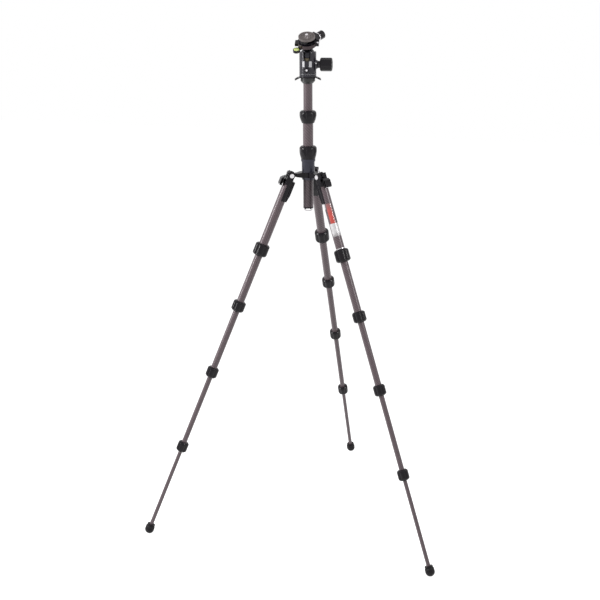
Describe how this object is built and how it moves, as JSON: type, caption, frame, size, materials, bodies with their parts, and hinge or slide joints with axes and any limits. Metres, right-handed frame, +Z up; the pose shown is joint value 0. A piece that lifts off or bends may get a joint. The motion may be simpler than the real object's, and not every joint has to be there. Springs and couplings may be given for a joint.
{
  "type": "travel tripod",
  "caption": "Travel tripod standing on extended twist-lock legs, with a telescoping centre column and a tilted ball head that carries a round quick-release plate.",
  "frame": {"origin": "on the ground, under the middle of the bounding box of the standing tripod", "axes": "+Z up along the centre column, +Y towards the leg that stands behind, +X to the right of it seen from the front"},
  "size_m": [0.7642, 0.665, 1.2692],
  "materials": {
    "carbon_tube": "clear-coated woven carbon",
    "lock_black": "ribbed satin black",
    "casting_black": "satin black",
    "casting_grey": "blue-grey satin",
    "housing_paint": "fine satin, dark blue-grey",
    "plate_metal": "turned, warm grey",
    "bright_steel": "bright",
    "ball_metal": "polished",
    "foot_rubber": "matt",
    "bush_plastic": "matt",
    "seat_plastic": "matt",
    "level_glass": "clear yellow-green"
  },
  "bodies": {
    "frame": {"spider": "casting_grey", "hinge_pins": "bright_steel", "canopy_collar": "casting_grey", "canopy_bush": "bush_plastic"},
    "lower_column": {"column_tube_lower": "carbon_tube", "hook_cap": "casting_black"},
    "upper_column": {"column_tube_upper": "carbon_tube", "head_neck": "casting_grey", "strap_plate": "casting_black", "head_base": "housing_paint"},
    "housing": {"head_housing": "housing_paint", "ball_seat": "seat_plastic"},
    "ball": {"ball": "ball_metal"},
    "clamp": {"clamp_body": "casting_black", "spirit_level": "level_glass"},
    "release_plate": {"release_plate": "plate_metal"},
    "clamp_knob": {"clamp_knob": "lock_black"},
    "clamp_jaw": {"clamp_jaw": "casting_black"},
    "camera_screw": {"camera_screw": "bright_steel"},
    "ball_knob": {"ball_knob": "lock_black"},
    "pan_knob": {"pan_knob": "lock_black"},
    "canopy_lock": {"canopy_lock": "lock_black"},
    "column_lock": {"column_lock": "lock_black"},
    "weight_hook": {"weight_hook": "bright_steel"},
    "leg_back_1": {"leg_back_yoke": "casting_black", "leg_back_section_1": "carbon_tube"},
    "leg_back_2": {"leg_back_section_2": "carbon_tube"},
    "leg_back_3": {"leg_back_section_3": "carbon_tube"},
    "leg_back_4": {"leg_back_section_4": "carbon_tube"},
    "leg_back_5": {"leg_back_section_5": "carbon_tube", "leg_back_foot": "foot_rubber"},
    "leg_back_lock_1": {"leg_back_lock_1": "lock_black"},
    "leg_back_lock_2": {"leg_back_lock_2": "lock_black"},
    "leg_back_lock_3": {"leg_back_lock_3": "lock_black"},
    "leg_back_lock_4": {"leg_back_lock_4": "lock_black"},
    "leg_back_stop_tab": {"leg_back_stop_tab": "casting_black"},
    "leg_left_1": {"leg_left_yoke": "casting_black", "leg_left_section_1": "carbon_tube"},
    "leg_left_2": {"leg_left_section_2": "carbon_tube"},
    "leg_left_3": {"leg_left_section_3": "carbon_tube"},
    "leg_left_4": {"leg_left_section_4": "carbon_tube"},
    "leg_left_5": {"leg_left_section_5": "carbon_tube", "leg_left_foot": "foot_rubber"},
    "leg_left_lock_1": {"leg_left_lock_1": "lock_black"},
    "leg_left_lock_2": {"leg_left_lock_2": "lock_black"},
    "leg_left_lock_3": {"leg_left_lock_3": "lock_black"},
    "leg_left_lock_4": {"leg_left_lock_4": "lock_black"},
    "leg_left_stop_tab": {"leg_left_stop_tab": "casting_black"},
    "leg_right_1": {"leg_right_yoke": "casting_black", "leg_right_section_1": "carbon_tube"},
    "leg_right_2": {"leg_right_section_2": "carbon_tube"},
    "leg_right_3": {"leg_right_section_3": "carbon_tube"},
    "leg_right_4": {"leg_right_section_4": "carbon_tube"},
    "leg_right_5": {"leg_right_section_5": "carbon_tube", "leg_right_foot": "foot_rubber"},
    "leg_right_lock_1": {"leg_right_lock_1": "lock_black"},
    "leg_right_lock_2": {"leg_right_lock_2": "lock_black"},
    "leg_right_lock_3": {"leg_right_lock_3": "lock_black"},
    "leg_right_lock_4": {"leg_right_lock_4": "lock_black"},
    "leg_right_stop_tab": {"leg_right_stop_tab": "casting_black"}
  },
  "joints": [
    {"name": "leg_back_swing", "type": "hinge", "parent": "frame", "child": "leg_back_1", "pos_m": [0, -0.06362, 0.92619], "axis": [-1, 0, 0], "range_deg": [-153.2, 20.8]},
    {"name": "leg_left_swing", "type": "hinge", "parent": "frame", "child": "leg_left_1", "pos_m": [-0.0375, -0.12857, 0.92619], "axis": [0.5, -0.866, 0], "range_deg": [-153.2, 20.8]},
    {"name": "leg_right_swing", "type": "hinge", "parent": "frame", "child": "leg_right_1", "pos_m": [0.0375, -0.12857, 0.92619], "axis": [0.5, 0.866, 0], "range_deg": [-153.2, 20.8]},
    {"name": "column_lower_slide", "type": "slide", "parent": "frame", "child": "lower_column", "axis": [0, 0, -1], "range_m": [-0.066, 0.054]},
    {"name": "column_upper_slide", "type": "slide", "parent": "lower_column", "child": "upper_column", "axis": [0, 0, -1], "range_m": [-0.07, 0.057]},
    {"name": "head_pan", "type": "hinge", "parent": "upper_column", "child": "housing", "pos_m": [0, -0.10692, 1.16339], "axis": [0, 0, -1], "continuous": true},
    {"name": "ball_tilt", "type": "hinge", "parent": "housing", "child": "ball", "pos_m": [0, -0.10692, 1.21469], "axis": [0.9816, 0.1908, 0], "range_deg": [-28, 62]},
    {"name": "ball_spin", "type": "hinge", "parent": "ball", "child": "clamp", "pos_m": [0, -0.10692, 1.21469], "axis": [-0.0896, 0.4608, -0.8829], "continuous": true},
    {"name": "plate_slide", "type": "slide", "parent": "clamp", "child": "release_plate", "axis": [-0.8603, 0.411, 0.3018], "range_m": [0, 0.042]},
    {"name": "clamp_knob_turn", "type": "hinge", "parent": "clamp_jaw", "child": "clamp_knob", "pos_m": [0.00273, -0.12098, 1.24162], "axis": [0.5019, 0.7866, 0.3596], "range_deg": [0, 1080]},
    {"name": "clamp_jaw_slide", "type": "slide", "parent": "clamp", "child": "clamp_jaw", "axis": [0.5019, 0.7866, 0.3596], "range_m": [0, 0.003]},
    {"name": "leg_back_stop", "type": "slide", "parent": "leg_back_1", "child": "leg_back_stop_tab", "axis": [0, -0.9219, -0.3875], "range_m": [0, 0.0022]},
    {"name": "leg_left_stop", "type": "slide", "parent": "leg_left_1", "child": "leg_left_stop_tab", "axis": [0.7984, 0.4609, -0.3875], "range_m": [0, 0.0022]},
    {"name": "leg_right_stop", "type": "slide", "parent": "leg_right_1", "child": "leg_right_stop_tab", "axis": [-0.7984, 0.4609, -0.3875], "range_m": [0, 0.0022]},
    {"name": "leg_back_slide_2", "type": "slide", "parent": "leg_back_1", "child": "leg_back_2", "axis": [0, 0.3875, -0.9219], "range_m": [-0.1233, 0]},
    {"name": "leg_left_slide_2", "type": "slide", "parent": "leg_left_1", "child": "leg_left_2", "axis": [-0.3356, -0.1938, -0.9219], "range_m": [-0.1233, 0]},
    {"name": "leg_right_slide_2", "type": "slide", "parent": "leg_right_1", "child": "leg_right_2", "axis": [0.3356, -0.1938, -0.9219], "range_m": [-0.1233, 0]},
    {"name": "leg_back_slide_3", "type": "slide", "parent": "leg_back_2", "child": "leg_back_3", "axis": [0, 0.3875, -0.9219], "range_m": [-0.1556, 0]},
    {"name": "leg_left_slide_3", "type": "slide", "parent": "leg_left_2", "child": "leg_left_3", "axis": [-0.3356, -0.1938, -0.9219], "range_m": [-0.1556, 0]},
    {"name": "leg_right_slide_3", "type": "slide", "parent": "leg_right_2", "child": "leg_right_3", "axis": [0.3356, -0.1938, -0.9219], "range_m": [-0.1556, 0]},
    {"name": "leg_back_slide_4", "type": "slide", "parent": "leg_back_3", "child": "leg_back_4", "axis": [0, 0.3875, -0.9219], "range_m": [-0.1841, 0]},
    {"name": "leg_left_slide_4", "type": "slide", "parent": "leg_left_3", "child": "leg_left_4", "axis": [-0.3356, -0.1938, -0.9219], "range_m": [-0.1841, 0]},
    {"name": "leg_right_slide_4", "type": "slide", "parent": "leg_right_3", "child": "leg_right_4", "axis": [0.3356, -0.1938, -0.9219], "range_m": [-0.1841, 0]},
    {"name": "leg_back_slide_5", "type": "slide", "parent": "leg_back_4", "child": "leg_back_5", "axis": [0, 0.3875, -0.9219], "range_m": [-0.2145, 0]},
    {"name": "leg_left_slide_5", "type": "slide", "parent": "leg_left_4", "child": "leg_left_5", "axis": [-0.3356, -0.1938, -0.9219], "range_m": [-0.2145, 0]},
    {"name": "leg_right_slide_5", "type": "slide", "parent": "leg_right_4", "child": "leg_right_5", "axis": [0.3356, -0.1938, -0.9219], "range_m": [-0.2145, 0]},
    {"name": "ball_knob_turn", "type": "hinge", "parent": "housing", "child": "ball_knob", "pos_m": [0, -0.10692, 1.19119], "axis": [0.9816, 0.1908, 0], "range_deg": [0, 270]},
    {"name": "canopy_lock_turn", "type": "hinge", "parent": "frame", "child": "canopy_lock", "pos_m": [0, -0.10692, 0.96549], "axis": [0, 0, 1], "range_deg": [0, 90]},
    {"name": "column_lock_turn", "type": "hinge", "parent": "lower_column", "child": "column_lock", "pos_m": [0, -0.10692, 1.05259], "axis": [0, 0, 1], "range_deg": [0, 90]},
    {"name": "pan_knob_turn", "type": "hinge", "parent": "housing", "child": "pan_knob", "pos_m": [0, -0.10692, 1.17994], "axis": [0.1908, -0.9816, 0], "range_deg": [0, 720]},
    {"name": "hook_swing", "type": "hinge", "parent": "lower_column", "child": "weight_hook", "pos_m": [0, -0.10692, 0.84149], "axis": [1, 0, 0], "range_deg": [-85, 85]},
    {"name": "camera_screw_turn", "type": "hinge", "parent": "release_plate", "child": "camera_screw", "pos_m": [0.00447, -0.12992, 1.25875], "axis": [0.0896, -0.4608, 0.8829], "continuous": true},
    {"name": "leg_back_lock_1_turn", "type": "hinge", "parent": "leg_back_1", "child": "leg_back_lock_1", "pos_m": [0, -0.06362, 0.92619], "axis": [0, 0.3875, -0.9219], "range_deg": [0, 90]},
    {"name": "leg_left_lock_1_turn", "type": "hinge", "parent": "leg_left_1", "child": "leg_left_lock_1", "pos_m": [-0.0375, -0.12857, 0.92619], "axis": [-0.3356, -0.1938, -0.9219], "range_deg": [0, 90]},
    {"name": "leg_right_lock_1_turn", "type": "hinge", "parent": "leg_right_1", "child": "leg_right_lock_1", "pos_m": [0.0375, -0.12857, 0.92619], "axis": [0.3356, -0.1938, -0.9219], "range_deg": [0, 90]},
    {"name": "leg_back_lock_2_turn", "type": "hinge", "parent": "leg_back_2", "child": "leg_back_lock_2", "pos_m": [0, -0.06362, 0.92619], "axis": [0, 0.3875, -0.9219], "range_deg": [0, 90]},
    {"name": "leg_left_lock_2_turn", "type": "hinge", "parent": "leg_left_2", "child": "leg_left_lock_2", "pos_m": [-0.0375, -0.12857, 0.92619], "axis": [-0.3356, -0.1938, -0.9219], "range_deg": [0, 90]},
    {"name": "leg_right_lock_2_turn", "type": "hinge", "parent": "leg_right_2", "child": "leg_right_lock_2", "pos_m": [0.0375, -0.12857, 0.92619], "axis": [0.3356, -0.1938, -0.9219], "range_deg": [0, 90]},
    {"name": "leg_back_lock_3_turn", "type": "hinge", "parent": "leg_back_3", "child": "leg_back_lock_3", "pos_m": [0, -0.06362, 0.92619], "axis": [0, 0.3875, -0.9219], "range_deg": [0, 90]},
    {"name": "leg_left_lock_3_turn", "type": "hinge", "parent": "leg_left_3", "child": "leg_left_lock_3", "pos_m": [-0.0375, -0.12857, 0.92619], "axis": [-0.3356, -0.1938, -0.9219], "range_deg": [0, 90]},
    {"name": "leg_right_lock_3_turn", "type": "hinge", "parent": "leg_right_3", "child": "leg_right_lock_3", "pos_m": [0.0375, -0.12857, 0.92619], "axis": [0.3356, -0.1938, -0.9219], "range_deg": [0, 90]},
    {"name": "leg_back_lock_4_turn", "type": "hinge", "parent": "leg_back_4", "child": "leg_back_lock_4", "pos_m": [0, -0.06362, 0.92619], "axis": [0, 0.3875, -0.9219], "range_deg": [0, 90]},
    {"name": "leg_left_lock_4_turn", "type": "hinge", "parent": "leg_left_4", "child": "leg_left_lock_4", "pos_m": [-0.0375, -0.12857, 0.92619], "axis": [-0.3356, -0.1938, -0.9219], "range_deg": [0, 90]},
    {"name": "leg_right_lock_4_turn", "type": "hinge", "parent": "leg_right_4", "child": "leg_right_lock_4", "pos_m": [0.0375, -0.12857, 0.92619], "axis": [0.3356, -0.1938, -0.9219], "range_deg": [0, 90]}
  ],
  "couplings": [
    {"joint": "clamp_knob_turn", "follows": "clamp_jaw_slide", "rad_per_m": 6283.2}
  ]
}
